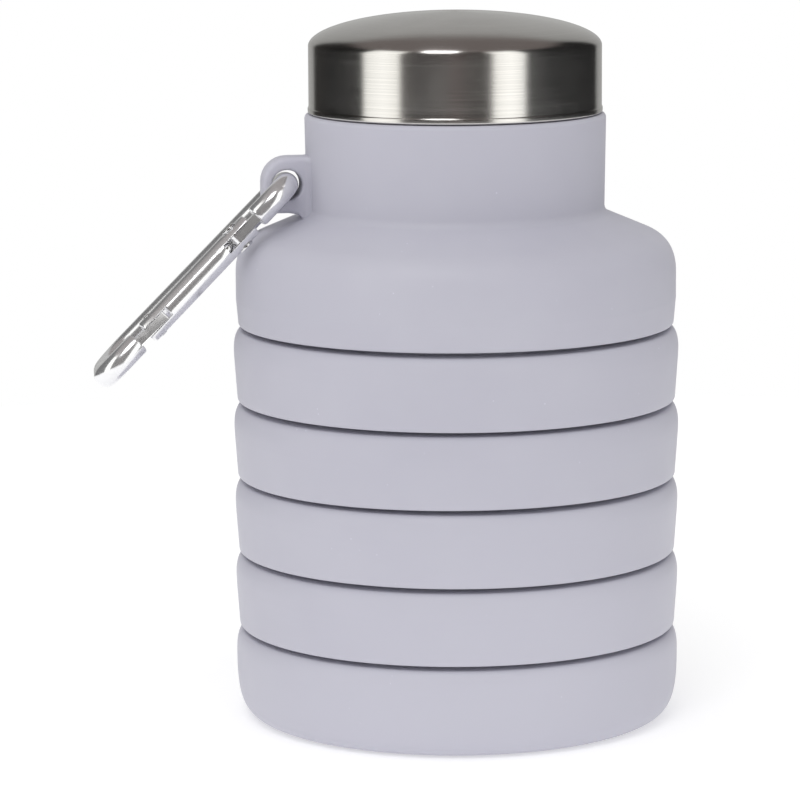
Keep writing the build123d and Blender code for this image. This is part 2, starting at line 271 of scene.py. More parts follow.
def soften(obj, width, segments=3, angle=32):
    """Break the sharp edges and shade the rest smooth."""
    for polygon in obj.data.polygons:
        polygon.use_smooth = True
    bevel = obj.modifiers.new("edges", "BEVEL")
    bevel.width = width * MM
    bevel.segments = segments
    bevel.limit_method = "ANGLE"
    bevel.angle_limit = math.radians(angle)
    bevel.harden_normals = False
    apply_modifiers(obj)
    shade(obj, 40)


def shade(obj, angle=40):
    """Smooth shading that keeps edges sharper than the angle."""
    bm = bmesh.new()
    bm.from_mesh(obj.data)
    for edge in bm.edges:
        if len(edge.link_faces) == 2:
            edge.smooth = edge.calc_face_angle(0) < math.radians(angle)
    for face in bm.faces:
        face.smooth = True
    bm.to_mesh(obj.data)
    bm.free()


# ---------------------------------------------------------------- materials
class Nodes:
    """Small builder for a principled material."""

    def __init__(self, name):
        self.material = bpy.data.materials.new(name)
        self.material.use_nodes = True
        self.tree = self.material.node_tree
        self.shader = self.tree.nodes["Principled BSDF"]
        self.place = self.add("ShaderNodeTexCoord").outputs["Object"]

    def add(self, kind, **values):
        node = self.tree.nodes.new(kind)
        for key, value in values.items():
            if key in node.inputs:
                node.inputs[key].default_value = value
            else:
                setattr(node, key, value)
        return node

    def link(self, source, target):
        self.tree.links.new(source, target)

    def put(self, **values):
        for key, value in values.items():
            self.shader.inputs[key.replace("_", " ")].default_value = value

    def stretched(self, scale):
        node = self.add("ShaderNodeMapping", vector_type="POINT")
        node.inputs["Scale"].default_value = scale
        self.link(self.place, node.inputs["Vector"])
        return node.outputs["Vector"]

    def noise(self, scale, detail=2.0, rough=0.5, vector=None):
        node = self.add("ShaderNodeTexNoise")
        node.inputs["Scale"].default_value = scale
        node.inputs["Detail"].default_value = detail
        node.inputs["Roughness"].default_value = rough
        self.link(vector or self.place, node.inputs["Vector"])
        return node.outputs["Fac"]

    def ramp(self, source, low_at, high_at, low_to=0.0, high_to=1.0):
        node = self.add("ShaderNodeMapRange")
        node.inputs["From Min"].default_value = low_at
        node.inputs["From Max"].default_value = high_at
        node.inputs["To Min"].default_value = low_to
        node.inputs["To Max"].default_value = high_to
        self.link(source, node.inputs["Value"])
        return node.outputs["Result"]

    def math(self, operation, a, b):
        node = self.add("ShaderNodeMath", operation=operation)
        for slot, value in zip(node.inputs, (a, b)):
            if isinstance(value, (int, float)):
                slot.default_value = value
            else:
                self.link(value, slot)
        return node.outputs[0]

    def mix(self, factor, a, b):
        node = self.add("ShaderNodeMix", data_type="RGBA")
        self.link(factor, node.inputs["Factor"])
        for slot, value in ((node.inputs[6], a), (node.inputs[7], b)):
            if isinstance(value, tuple):
                slot.default_value = (*value, 1)
            else:
                self.link(value, slot)
        return node.outputs[2]

    def bump(self, height, strength, distance, normal=None):
        node = self.add("ShaderNodeBump")
        node.inputs["Strength"].default_value = strength
        node.inputs["Distance"].default_value = distance
        self.link(height, node.inputs["Height"])
        if normal is not None:
            self.link(normal, node.inputs["Normal"])
        return node.outputs["Normal"]

    def colour(self, socket):
        self.link(socket, self.shader.inputs["Base Color"])

    def rough(self, socket):
        self.link(socket, self.shader.inputs["Roughness"])

    def normal(self, socket):
        self.link(socket, self.shader.inputs["Normal"])


def silicone(name, tint, deep, rough_low=0.42, rough_high=0.54):
    """Soft-touch moulded silicone: faint mottling, fine grain, a little lint."""
    n = Nodes(name)
    cloud = n.noise(38, 3, 0.55)
    streak = n.noise(9, 2, 0.5)
    tone = n.mix(n.ramp(cloud, 0.35, 0.68), tint, deep)
    pale = tuple(min(1, c * 1.045) for c in tint)
    tone = n.mix(n.ramp(streak, 0.42, 0.66), tone, pale)
    speck = n.add("ShaderNodeTexVoronoi", feature="F1")
    speck.inputs["Scale"].default_value = 620
    n.link(n.place, speck.inputs["Vector"])
    dots = n.ramp(speck.outputs["Distance"], 0.05, 0.11, 1, 0)
    patches = n.ramp(n.noise(160, 1), 0.60, 0.70)
    rare = n.math("MULTIPLY", dots, patches)
    lint = tuple(min(1, c * 1.22) for c in tint)
    tone = n.mix(rare, tone, lint)
    n.colour(tone)
    n.rough(n.ramp(n.noise(70, 4, 0.6), 0.3, 0.7, rough_low, rough_high))
    grain = n.bump(n.noise(2600, 2, 0.5), 0.10, 0.00006)
    n.normal(n.bump(n.noise(120, 2, 0.5), 0.06, 0.0004, grain))
    n.put(Subsurface_Weight=0.12, Subsurface_Scale=0.004, Sheen_Weight=0.08, Sheen_Roughness=0.5,
          Specular_IOR_Level=0.38, IOR=1.41)
    n.shader.inputs["Subsurface Radius"].default_value = (1.0, 0.85, 0.9)
    return n.material


def brushed(name, tint, scale, rough_low, rough_high, anisotropy, axis="Z", depth=0.00002):
    """Brushed metal; scale stretches the noise along the brushing."""
    n = Nodes(name)
    flat = n.add("ShaderNodeVectorMath", operation="MULTIPLY")
    n.link(n.place, flat.inputs[0])
    flat.inputs[1].default_value = (1, 1, 0)
    reach = n.add("ShaderNodeVectorMath", operation="LENGTH")
    n.link(flat.outputs[0], reach.inputs[0])
    parts = n.add("ShaderNodeSeparateXYZ")
    n.link(n.place, parts.inputs[0])
    travel = n.math("SUBTRACT", reach.outputs["Value"], parts.outputs["Z"])
    joined = n.add("ShaderNodeCombineXYZ")
    n.link(parts.outputs["X"], joined.inputs[0])
    n.link(parts.outputs["Y"], joined.inputs[1])
    n.link(travel, joined.inputs[2])

    def lines_at(factor, detail, rough):
        node = n.add("ShaderNodeMapping", vector_type="POINT")
        node.inputs["Scale"].default_value = tuple(s * factor for s in scale)
        n.link(joined.outputs[0], node.inputs["Vector"])
        return n.noise(1.0, detail, rough, node.outputs["Vector"])

    lines = lines_at(1.0, 6, 0.65)
    fine = lines_at(3.1, 3, 0.6)
    dark = tuple(c * 0.80 for c in tint)
    tone = n.mix(n.ramp(lines, 0.30, 0.70), dark, tint)
    smear = n.noise(55, 3, 0.55)
    n.colour(n.mix(n.ramp(smear, 0.50, 0.78, 0, 0.5), tone, tuple(c * 0.88 for c in tint)))
    base = n.ramp(fine, 0.25, 0.75, rough_low, rough_high)
    n.rough(n.math("ADD", base, n.ramp(smear, 0.45, 0.8, 0, 0.06)))
    n.normal(n.bump(n.math("ADD", lines, fine), 0.16, depth))
    tangent = n.add("ShaderNodeTangent", direction_type="RADIAL", axis=axis)
    n.link(tangent.outputs["Tangent"], n.shader.inputs["Tangent"])
    n.put(Metallic=1.0, Anisotropic=anisotropy, Anisotropic_Rotation=0.25)
    return n.material


def polished(name, tint, rough_low, rough_high, metallic=1.0, scratch=0.06):
    """Tumbled bright metal with fine scratches and dull handling marks."""
    n = Nodes(name)
    haze = n.noise(140, 4, 0.6)
    tone = n.mix(n.ramp(haze, 0.35, 0.7), tint, tuple(c * 0.90 for c in tint))
    n.colour(tone)
    fine = n.noise(1.0, 4, 0.6, n.stretched((900, 2600, 900)))
    n.rough(n.math("ADD", n.ramp(haze, 0.3, 0.75, rough_low, rough_high), n.ramp(fine, 0.5, 0.75, 0, 0.07)))
    n.normal(n.bump(fine, scratch, 0.000008, n.bump(n.noise(300, 2), 0.05, 0.00004)))
    n.put(Metallic=metallic)
    return n.material


def plastic(name, tint, rough_low, rough_high, see_through=0.0):
    """Moulded plastic with a faint flow grain."""
    n = Nodes(name)
    flow = n.noise(1.0, 3, 0.5, n.stretched((60, 60, 240)))
    n.colour(n.mix(n.ramp(flow, 0.35, 0.65), tint, tuple(c * 0.93 for c in tint)))
    n.rough(n.ramp(n.noise(180, 3), 0.3, 0.7, rough_low, rough_high))
    n.normal(n.bump(n.noise(900, 2), 0.08, 0.00005))
    n.put(IOR=1.49, Subsurface_Weight=see_through, Subsurface_Scale=0.003)
    return n.material


SILICONE = silicone("silicone", (0.520, 0.515, 0.585), (0.492, 0.486, 0.560))
WEB = silicone("silicone_web", (0.500, 0.494, 0.566), (0.470, 0.463, 0.540))
LID_SIDE = brushed("lid_brushed", (0.68, 0.665, 0.645), (6, 6, 5200), 0.15, 0.23, 0.75)
CAP_PLASTIC = plastic("liner_plastic", (0.045, 0.045, 0.048), 0.32, 0.46)
INSERT_PLASTIC = plastic("insert_plastic", (0.74, 0.74, 0.75), 0.30, 0.42, 0.15)
GASKET = silicone("gasket_silicone", (0.70, 0.70, 0.71), (0.66, 0.66, 0.68), 0.40, 0.50)
ALUMINIUM = polished("hook_aluminium", (0.92, 0.92, 0.935), 0.15, 0.24, 0.8)
RIVET = polished("rivet_steel", (0.70, 0.70, 0.71), 0.18, 0.30)
SPRING = polished("spring_steel", (0.55, 0.55, 0.56), 0.22, 0.32)


def dress(obj, material, slot, body, *nodes):
    """Material, body and replaced CAD nodes of a finished piece; the slot argument is not used."""
    obj.data.materials.clear()
    obj.data.materials.append(material)
    if body:
        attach(obj, body)
    if nodes:
        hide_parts(*nodes)
    return obj


# ---------------------------------------------------------------- silicone body
CONE_ROOT = BAND_IN - 1.2 - 0.4
CONE_LEAN = 4.0
CONE_WIDTH = 1.8


def uneven(phase, size):
    """Slight moulding waviness of a band, a tenth of a millimetre or less."""
    def move(r, z, angle):
        share = max(0.0, min(1.0, (r - 33) / 4))
        wave = math.sin(2 * angle + phase) * 0.6 + math.sin(3 * angle - 1.7 * phase) * 0.4
        return 0.5 * size * share * math.sin(2 * angle + 2.1 * phase), size * share * wave
    return move


def crown(z):
    """Rounded crown, ledge, cone, waist rim and inner face of a lower band, going inward."""
    ledge = z - SLIT / 2
    lean = CONE_LEAN / RISE
    points = []
    for k in range(15):
        t = math.pi / 2 * k / 14
        points.append((BODY_R - 1.45 * (1 - math.cos(t)) ** 1.12, z - 4.0 + 3.45 * math.sin(t)))
    points += rounded([
        (BODY_R - 1.45, z - 0.55),
        (CONE_ROOT + lean * SLIT / 2, ledge, 0.35),
        (CONE_ROOT - CONE_LEAN, z + RISE, 0.35),
        (CONE_ROOT - CONE_LEAN - CONE_WIDTH, z + RISE, 0.6),
        (CONE_ROOT - CONE_WIDTH + lean * 1.9, z - 1.9, 2.5),
        (BAND_IN, z - 3.5, 1.5),
        (BAND_IN, z - 5.0),
    ], 5)[1:-1]
    return points


def band(index):
    name = "ring_%d" % index
    foot = low(name).z
    top = foot - SLIT / 2 + PITCH
    side = rounded([
        (BAND_IN, foot + 1.5),
        (BAND_IN, foot, 0.15),
        (BODY_R - 0.55, foot, 0.32),
        (BODY_R - 0.05, top - 5.4, 3.0),
        (BODY_R, top - 4.0),
    ], 5)
    outline = side[:-1] + crown(top)
    obj = lathe("band_%d" % index, divide(outline, 1.6), wobble=uneven(1.9 * index, 0.07))
    return dress(obj, SILICONE, "silicone", "band_%d" % index, name)


for number in (1, 2, 3, 4):
    band(number)

FOOT_R, CORNER_H, PULL = 32.1, 10.2, 0.765


def corner_curve(p0, p1, p2, p3, steps=26):
    """Points of a cubic curve, both ends included."""
    points = []
    for k in range(steps + 1):
        t = k / steps
        w = ((1 - t) ** 3, 3 * t * (1 - t) ** 2, 3 * t * t * (1 - t), t ** 3)
        points.append(tuple(sum(wi * p[i] for wi, p in zip(w, (p0, p1, p2, p3))) for i in (0, 1)))
    return points


base_line = [(0, 0), (FOOT_R - 0.6, 0), (FOOT_R - 0.1, 0.01)]
base_line += corner_curve((FOOT_R, 0.03), (FOOT_R + PULL * (BODY_R - FOOT_R), 0.03),
                          (BODY_R, CORNER_H * (1 - PULL)), (BODY_R, CORNER_H))
base_line += crown(BASE_TOP)
base_line.append((BAND_IN, CORNER_H))
for k in range(1, 13):
    t = math.pi / 2 * k / 12
    base_line.append((FOOT_R + (BAND_IN - FOOT_R) * math.cos(t), CORNER_H - (CORNER_H - 2.4) * math.sin(t)))
base_line.append((0, 2.4))
base = lathe("base_cup_skin", divide(base_line, 1.6), wobble=uneven(0.4, 0.05))
dress(base, SILICONE, "silicone", "base", "base_cup")

for number in (5, 4, 3, 2, 1):
    node = "fold_web_%d" % number
    level = low(node).z - SLIT / 2
    waist = level + RISE
    rim_out = CONE_ROOT - CONE_LEAN
    rim_in = rim_out - CONE_WIDTH
    outline = rounded([
        (BAND_IN, level + 0.3, 0.1),
        (BAND_IN, level + 0.9, 0.3),
        (rim_out + 1.4, waist + 0.5, 0.8),
        (rim_out + 0.8, waist + 1.1, 0.5),
        (rim_in + 0.4, waist + 1.1, 0.4),
        (rim_in, waist + 0.5, 0.3),
        (rim_in, waist),
        (rim_out + 0.4, waist, 0.2),
        (CONE_ROOT - 0.16 + 0.4, level + 0.3, 0.15),
    ], 4)
    web = lathe("fold_web_%d_skin" % number, divide(outline, 0.45), around=192)
    dress(web, WEB, "silicone_web", None, node)
    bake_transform(web)

# ---------------------------------------------------------------- shoulder, neck and lug
shoulder_line = rounded([
    (BAND_IN, TOP_FOLD + 3.0),
    (BAND_IN, TOP_FOLD + 0.3, 0.15),
    (BODY_R - 0.85, TOP_FOLD + 0.3, 0.32),
    (BODY_R - 0.47, TOP_FOLD + 4.7, 4),
    (BODY_R - 0.47, TOP_FOLD + 9.4),
], 5)[:-1]
corner_from = Vector((BODY_R - 0.47, TOP_FOLD + 9.0))
corner_to = Vector((BODY_R - 4.3, NECK_Z - 4.25))
handle_a = corner_from + Vector((0, 3.6))
handle_b = corner_to + Vector((2.3, -1.0))
for k in range(21):
    t = k / 20
    p = (corner_from * (1 - t) ** 3 + handle_a * 3 * t * (1 - t) ** 2
         + handle_b * 3 * t * t * (1 - t) + corner_to * t ** 3)
    shoulder_line.append((p.x, p.y))
shoulder_line += rounded([
    (BODY_R - 4.3, NECK_Z - 4.25),
    (NECK_R - 0.05, NECK_Z - 0.75, 1.7),
    (NECK_R + 0.22, LIP, 0.75),
    (NECK_R - 2.5, LIP, 0.15),
    (NECK_R - 2.5, INSERT_LOW + 1.6),
    (NECK_R - 1.3, INSERT_LOW + 1.6),
    (NECK_R - 1.3, INSERT_LOW),
    (20.5, INSERT_LOW, 0.3),
    (20.5, INSERT_LOW - 2.0, 0.8),
    (NECK_R + 1.0, INSERT_LOW - 3.2, 2.0),
    (BODY_R - 5.2, NECK_Z - 7.0, 2.0),
    (BODY_R - 2.9, TOP_FOLD + 9.2, 3.0),
    (BAND_IN, TOP_FOLD + 5.0, 2.0),
    (BAND_IN, TOP_FOLD + 3.0),
], 8)[1:-1]
shoulder = lathe("shoulder_skin", divide(shoulder_line, 1.2), around=288, wobble=None)


def lug_mesh():
    """The lug: a rounded tab with a round eye, its root flared into the neck."""
    centre_x, centre_z = HOOK_AT.x, HOOK_AT.z
    left = -(NECK_R + 7.8)
    top = centre_z + 4.7
    bottom = centre_z - 4.7
    right = -24.0
    tab = rounded([
        (right, bottom - 1.6),
        (-25.9, bottom - 1.6, 0.5),
        (-26.7, bottom - 0.3, 1.2),
        (-28.6, bottom, 1.6),
        (left, bottom, 2.6),
        (left, top, 4.3),
        (right, top),
    ], 8)
    around = 144
    verts, faces = [], []
    polygon = [Vector((x - centre_x, z - centre_z)) for x, z in tab]

    def reach(direction):
        best = None
        for i, p in enumerate(polygon):
            q = polygon[(i + 1) % len(polygon)]
            edge = q - p
            cross = direction.x * edge.y - direction.y * edge.x
            if abs(cross) < 1e-9:
                continue
            s = (p.x * edge.y - p.y * edge.x) / cross
            u = (p.x * direction.y - p.y * direction.x) / cross
            if s > 0 and -1e-6 <= u <= 1 + 1e-6 and (best is None or s > best):
                best = s
        return best

    eye, half = 2.55, 2.5
    edge_in, edge_out, steps = 0.45, 0.85, 5
    per = 0
    for k in range(around):
        angle = 2 * math.pi * k / around
        direction = Vector((math.cos(angle), math.sin(angle)))
        far = reach(direction)
        path = []
        path.append((eye, -half + edge_in))
        path.append((eye, 0))
        path.append((eye, half - edge_in))
        for j in range(1, steps + 1):
            t = math.pi / 2 * j / steps
            path.append((eye + edge_in * (1 - math.cos(t)), half - edge_in * (1 - math.sin(t))))
        for j in range(1, 6):
            path.append((eye + edge_in + (far - edge_out - eye - edge_in) * j / 6, half))
        for j in range(steps + 1):
            t = math.pi / 2 * j / steps
            path.append((far - edge_out * (1 - math.sin(t)), half - edge_out * (1 - math.cos(t))))
        path.append((far, 0))
        mirrored = [(r, -y) for r, y in reversed(path[3:-1])]
        path = path + mirrored
        per = len(path)
        for r, y in path:
            x = centre_x + direction.x * r
            z = centre_z + direction.y * r
            depth = -x - NECK_R
            flare = 0.0
            root = 0.9
            if depth < root and abs(y) > 0.5:
                d = max(0.0, depth)
                flare = root - math.sqrt(max(0.0, root ** 2 - (root - d) ** 2))
            verts.append((x, y + math.copysign(flare, y) if y else 0.0, z))
    for k in range(around):
        n = (k + 1) % around
        for j in range(per):
            m = (j + 1) % per
            faces.append((k * per + j, k * per + m, n * per + m, n * per + j))
    return link("lug_skin", verts, faces)


lug = lug_mesh()
combine(shoulder, lug, "UNION")
shade(shoulder, 50)
dress(shoulder, SILICONE, "silicone", "top", "shoulder")

# ---------------------------------------------------------------- threaded insert, liner, gasket
def thread(name, radius, depth, start, turns, lead=4.0, root=2.0, tip=1.0):
    """Helical ridge; a positive depth stands outward. The ends run out smoothly."""
    section = rounded([(-0.25, -root / 2), (0, -root / 2, 0.2), (1, -tip / 2, 0.22), (1, tip / 2, 0.22),
                       (0, root / 2, 0.2), (-0.25, root / 2)], 3)
    steps = int(turns * 96)
    verts, faces = [], []
    for k in range(steps + 1):
        angle = 2 * math.pi * turns * k / steps
        fade = min(1.0, k / 9, (steps - k) / 9)
        fade = 0.15 + 0.85 * fade * fade * (3 - 2 * fade)
        for s, dz in section:
            r = radius + depth * (s * fade if s > 0 else s)
            climb = lead * angle / (2 * math.pi)
            verts.append((r * math.cos(angle), r * math.sin(angle), start + climb + dz * (0.4 + 0.6 * fade)))
    per = len(section)
    for k in range(steps):
        for j in range(per):
            m = (j + 1) % per
            faces.append((k * per + j, k * per + m, (k + 1) * per + m, (k + 1) * per + j))
    faces.append(tuple(range(per)))
    faces.append(tuple(range(steps * per, (steps + 1) * per)))
    return link(name, verts, faces)


SPOUT_R = 21.0
BORE_R = 18.5
SLEEVE_R = 22.6
FLANGE_R = 23.8
FLANGE_TOP = INSERT_LOW + 1.6
CAP_BORE = 22.3
CAP_OUT = 23.9

spout_start = LIP + 3.6
insert = lathe("neck_insert_skin", divide(rounded([
    (BORE_R, INSERT_LOW, 0.5),
    (FLANGE_R, INSERT_LOW, 0.1),
    (FLANGE_R, FLANGE_TOP, 0.1),
    (SLEEVE_R, FLANGE_TOP),
    (SLEEVE_R, LIP, 0.2),
    (SPOUT_R, LIP, 0.3),
    (SPOUT_R, RIM, 0.5),
    (BORE_R, RIM, 0.5),
], 5), 1.5), around=224)
combine(insert, thread("spout_thread", SPOUT_R, 1.0, spout_start, 1.25), "UNION")
shade(insert, 45)
dress(insert, INSERT_PLASTIC, "insert", "top", "neck_insert")

liner_low = low("lid_liner").z
disc = high("lid_gasket").z
disc_top = high("lid_liner").z
liner = lathe("lid_liner_skin", divide(rounded([
    (CAP_BORE, liner_low, 0.2),
    (CAP_OUT, liner_low, 0.1),
    (CAP_OUT, CREASE - 0.1, 0.2),
    (22.7, disc_top, 0.3),
    (0, disc_top),
    (0, disc),
    (CAP_BORE, disc, 0.35),
], 4), 1.8), around=224)
combine(liner, thread("cap_thread", CAP_BORE, -1.0, spout_start - 1.7, 1.5), "UNION")
shade(liner, 45)
dress(liner, CAP_PLASTIC, "liner", "lid", "lid_liner")

gasket = lathe("lid_gasket_skin", rounded([
    (BORE_R + 0.4, low("lid_gasket").z, 0.2),
    (CAP_BORE - 0.3, low("lid_gasket").z, 0.2),
    (CAP_BORE - 0.3, disc, 0.2),
    (BORE_R + 0.4, disc, 0.2),
], 4), around=160)
dress(gasket, GASKET, "gasket", "gasket", "lid_gasket")

# ---------------------------------------------------------------- steel lid shell
shell_line = rounded([
    (LID_R - 0.6, CREASE),
    (LID_R - 0.6, LID_LOW + 0.6, 0.1),
    (LID_R - 1.5, LID_LOW + 0.6, 0.2),
    (LID_R - 1.5, LID_LOW, 0.2),
    (LID_R + 0.15, LID_LOW, 0.32),
    (LID_R + 0.15, LID_LOW + 0.85, 0.3),
    (LID_R, LID_LOW + 1.05, 0.25),
    (LID_R, CREASE),
], 5)[1:-1]
shell_line.append((LID_R, CREASE - 0.02))
for k in range(2, 91, 2):
    t = math.radians(k)
    shell_line.append((LID_R * math.cos(t) if k < 90 else 0.0, CREASE + 5.7 * math.sin(t)))
shell_line.append((0.0, LID_TOP - 0.6))
for k in range(88, -1, -4):
    t = math.radians(k)
    shell_line.append(((LID_R - 0.6) * math.cos(t), CREASE + 5.1 * math.sin(t)))
shell = lathe("lid_shell_skin", divide(shell_line, 1.5), around=288)
shade(shell, 60)
dress(shell, LID_SIDE, "lid_steel", "lid", "lid_shell")

# ---------------------------------------------------------------- carabiner
WIRE = 2.0
NARROW = 6.0
FAR = 43.4
SPINE = 8.5
GATE_FAR = SPINE - 20.3
WIDE_BEND = 6.13
NARROW_BEND = 4.2
NOSE = 23.9
STUB = -4.6
TONGUE_HALF = 0.75
GATE_R = 2.1
GATE_BACK = 3.1
GATE_REACH = 21.8
LATCH_AT = 19.9
HEAD_SEAT = 1.85
BORE_END = 10.6
PLUNGER_R = 0.95
COIL_R = 0.72
COIL_WIRE = 0.2
COIL_TURNS = 5.5
pivot_local = PIVOT - HOOK_AT
PIVOT_X = pivot_local.dot(ALONG)
PIVOT_Y = pivot_local.dot(ACROSS)
slope = GATE_X.dot(ACROSS) / GATE_X.dot(ALONG)


def hook_point(p):
    return HOOK_AT + ALONG * p[0] + ACROSS * p[1]


def gate_line(distance):
    step = distance / math.hypot(1, slope)
    return (PIVOT_X + step, PIVOT_Y + slope * step)


def gate_point(x, y, z=0.0):
    return PIVOT + GATE_X * x + GATE_Y * y + FLAT * z


def open_rounded(points, steps=14):
    """Round the inner corners of an open path."""
    path = rounded([(*points[0][:2],)] + list(points[1:-1]) + [(*points[-1][:2],)], steps)
    return path


wire_path = open_rounded([
    gate_line(NOSE),
    (FAR, GATE_FAR, WIDE_BEND),
    (FAR, SPINE, WIDE_BEND),
    (0, NARROW, NARROW_BEND),
    (0, -NARROW, NARROW_BEND),
    gate_line(STUB),
])
centres = [hook_point(p) for p in wire_path]
nose_dir = (centres[1] - centres[0]).normalized()
stub_dir = (centres[-2] - centres[-1]).normalized()
ends_a = [centres[0], centres[0] + nose_dir * 0.12, centres[0] + nose_dir * 0.35]
ends_b = [centres[-1] + stub_dir * 0.6, centres[-1] + stub_dir * 0.2, centres[-1]]
radii = [WIRE - 0.35, WIRE - 0.1, WIRE] + [WIRE] * (len(centres) - 2) + [WIRE, WIRE - 0.18, WIRE - 0.6]
hook = tube("carabiner_frame_skin", ends_a + centres[1:-1] + ends_b, radii, FLAT, 48)
tenon = [(-5.0, -1.4)]
for k in range(0, 11):
    t = math.radians(-90 + 110 * k / 10)
    tenon.append((1.4 * math.cos(t), 1.4 * math.sin(t)))
for k in range(0, 11):
    t = math.radians(0 + 90 * k / 10)
    tenon.append((1.5 * math.cos(t), 0.5 + 1.5 * math.sin(t)))
tenon.append((-5.0, 2.0))
combine(hook, plate("tenon", tenon, TONGUE_HALF, PIVOT, GATE_X, GATE_Y), "UNION")
tongue_line = rounded([
    (17.6, -1.8, 0.3), (24.3, -1.8), (24.3, 1.8), (23.3, 1.8, 0.4), (20.8, 1.1, 0.4), (20.8, -0.82, 0.3),
    (19.0, -0.82, 0.3), (19.0, 0.4, 0.2), (18.1, 0.4, 0.3), (17.6, -0.1, 0.3),
], 3)
combine(hook, plate("tongue", tongue_line, TONGUE_HALF, PIVOT, GATE_X, GATE_Y), "UNION")
hole = turned("hole", [(0, -3), (0.8, -3), (0.8, 3), (0, 3)], PIVOT, FLAT, 32)
combine(hook, hole, "DIFFERENCE")
soften(hook, 0.09, 2, 40)
dress(hook, ALUMINIUM, "hook_aluminium", "hook", "carabiner_frame")

gate_line_outline = rounded([
    (0, -GATE_BACK), (GATE_R, -GATE_BACK, 0.35), (GATE_R, GATE_REACH, 0.45), (0, GATE_REACH)], 4)
gate = turned("carabiner_gate_skin", divide(gate_line_outline, 2.5), PIVOT, GATE_X, 64)


def block(name, x0, x1, y0, y1, z0, z1):
    verts = [gate_point(x, y, z) for x in (x0, x1) for y in (y0, y1) for z in (z0, z1)]
    faces = [(0, 1, 3, 2), (4, 6, 7, 5), (0, 4, 5, 1), (2, 3, 7, 6), (0, 2, 6, 4), (1, 5, 7, 3)]
    return link(name, verts, faces, smooth=False)


combine(gate, block("slot_a", -4, 2.9, -4, 4, -0.9, 0.9), "DIFFERENCE")
combine(gate, block("slot_b", 16.8, 23, -4, 4, -0.9, 0.9), "DIFFERENCE")
for side in (1, -1):
    flat_cut = [(0, HEAD_SEAT * side), (1.4, HEAD_SEAT * side), (1.4, 4 * side), (0, 4 * side)]
    spot = turned("spot", flat_cut, PIVOT, FLAT, 40)
    combine(gate, spot, "DIFFERENCE")
bore = turned("bore", [(0, 0.9), (1.05, 0.9), (1.05, BORE_END), (0, BORE_END)], PIVOT, GATE_X, 32)
combine(gate, bore, "DIFFERENCE")
soften(gate, 0.07, 2, 40)
dress(gate, ALUMINIUM, "hook_aluminium", "gate", "carabiner_gate")

pin = rounded([
    (0, -2.35), (1.3, -2.35, 0.28), (1.3, -1.86, 0.08), (0.7, -1.86), (0.7, 1.86),
    (1.3, 1.86, 0.08), (1.3, 2.35, 0.28), (0, 2.35)], 4)
pivot_pin = turned("gate_pivot_rivet_skin", pin, PIVOT, FLAT, 48)
shade(pivot_pin, 40)
dress(pivot_pin, RIVET, "rivet_steel", "gate", "gate_pivot_rivet")
latch = rounded([(0, -2.15), (0.7, -2.15, 0.2), (0.7, 2.15, 0.2), (0, 2.15)], 4)
latch_pin = turned("gate_latch_rivet_skin", latch, gate_point(LATCH_AT, 0), FLAT, 40)
shade(latch_pin, 40)
dress(latch_pin, RIVET, "rivet_steel", "gate", "gate_latch_rivet")
ball_at = math.sqrt(2.45 ** 2 - 0.5 ** 2) + 0.05
plunger_line = [(0, ball_at - PLUNGER_R)]
for k in range(1, 10):
    t = math.radians(10 * k)
    plunger_line.append((PLUNGER_R * math.sin(t), ball_at - PLUNGER_R * math.cos(t)))
plunger_line += [(PLUNGER_R, ball_at + 1.9), (0.75, ball_at + 2.1), (0, ball_at + 2.1)]
plunger = turned("gate_plunger_skin", plunger_line, PIVOT, GATE_X, 40)
shade(plunger, 40)
dress(plunger, RIVET, "rivet_steel", "plunger", "gate_plunger")
spring_from = ball_at + 2.1 + 0.21
spring_to = BORE_END - 0.41
coil = []
for k in range(int(COIL_TURNS * 28) + 1):
    share = k / (COIL_TURNS * 28)
    angle = 2 * math.pi * COIL_TURNS * share
    reach = spring_from + (spring_to - spring_from) * share
    coil.append(gate_point(reach, COIL_R * math.cos(angle), COIL_R * math.sin(angle)))
verts, faces = [], []
for i, centre in enumerate(coil):
    ahead = (coil[min(i + 1, len(coil) - 1)] - coil[max(i - 1, 0)]).normalized()
    lateral = ahead.cross(GATE_X).normalized()
    third = ahead.cross(lateral)
    for k in range(10):
        a = 2 * math.pi * k / 10
        verts.append(centre + (lateral * math.cos(a) + third * math.sin(a)) * COIL_WIRE)
for i in range(len(coil) - 1):
    for k in range(10):
        n = (k + 1) % 10
        faces.append((i * 10 + k, i * 10 + n, (i + 1) * 10 + n, (i + 1) * 10 + k))
faces += [tuple(range(10)), tuple(range((len(coil) - 1) * 10, len(coil) * 10))]
spring = link("gate_spring_skin", verts, faces)
dress(spring, SPRING, "spring_steel", None, "gate_spring")
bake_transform(spring)

# ---------------------------------------------------------------- floor, light and camera
floor_n = Nodes("floor_paper")
cloud = floor_n.ramp(floor_n.noise(6, 2), 0.4, 0.6)
floor_n.colour(floor_n.mix(cloud, (0.76, 0.76, 0.76), (0.75, 0.75, 0.755)))
floor_n.put(Roughness=0.8, Specular_IOR_Level=0.1, Emission_Strength=0.38)
floor_n.shader.inputs["Emission Color"].default_value = (1, 1, 1, 1)
rim_points = [(340 * math.cos(math.tau * k / 96), 340 * math.sin(math.tau * k / 96), 0) for k in range(96)]
floor = link("floor", rim_points, [tuple(range(96))])
floor.data.materials.append(floor_n.material)

VIEW_AZ = -10.0
CAMERA_PAN = 0.8154 - 0.011
CAMERA_DOWN = 9.276
CAMERA_ROLL = -0.32
CAMERA_BACK = 0.6782
CAMERA_OVER_LIP = 61.9


def around_at(azimuth, distance, height):
    """Point at this azimuth from the camera's side, in metres."""
    a = math.radians(VIEW_AZ + azimuth)
    return Vector((math.sin(a) * distance, -math.cos(a) * distance, height))


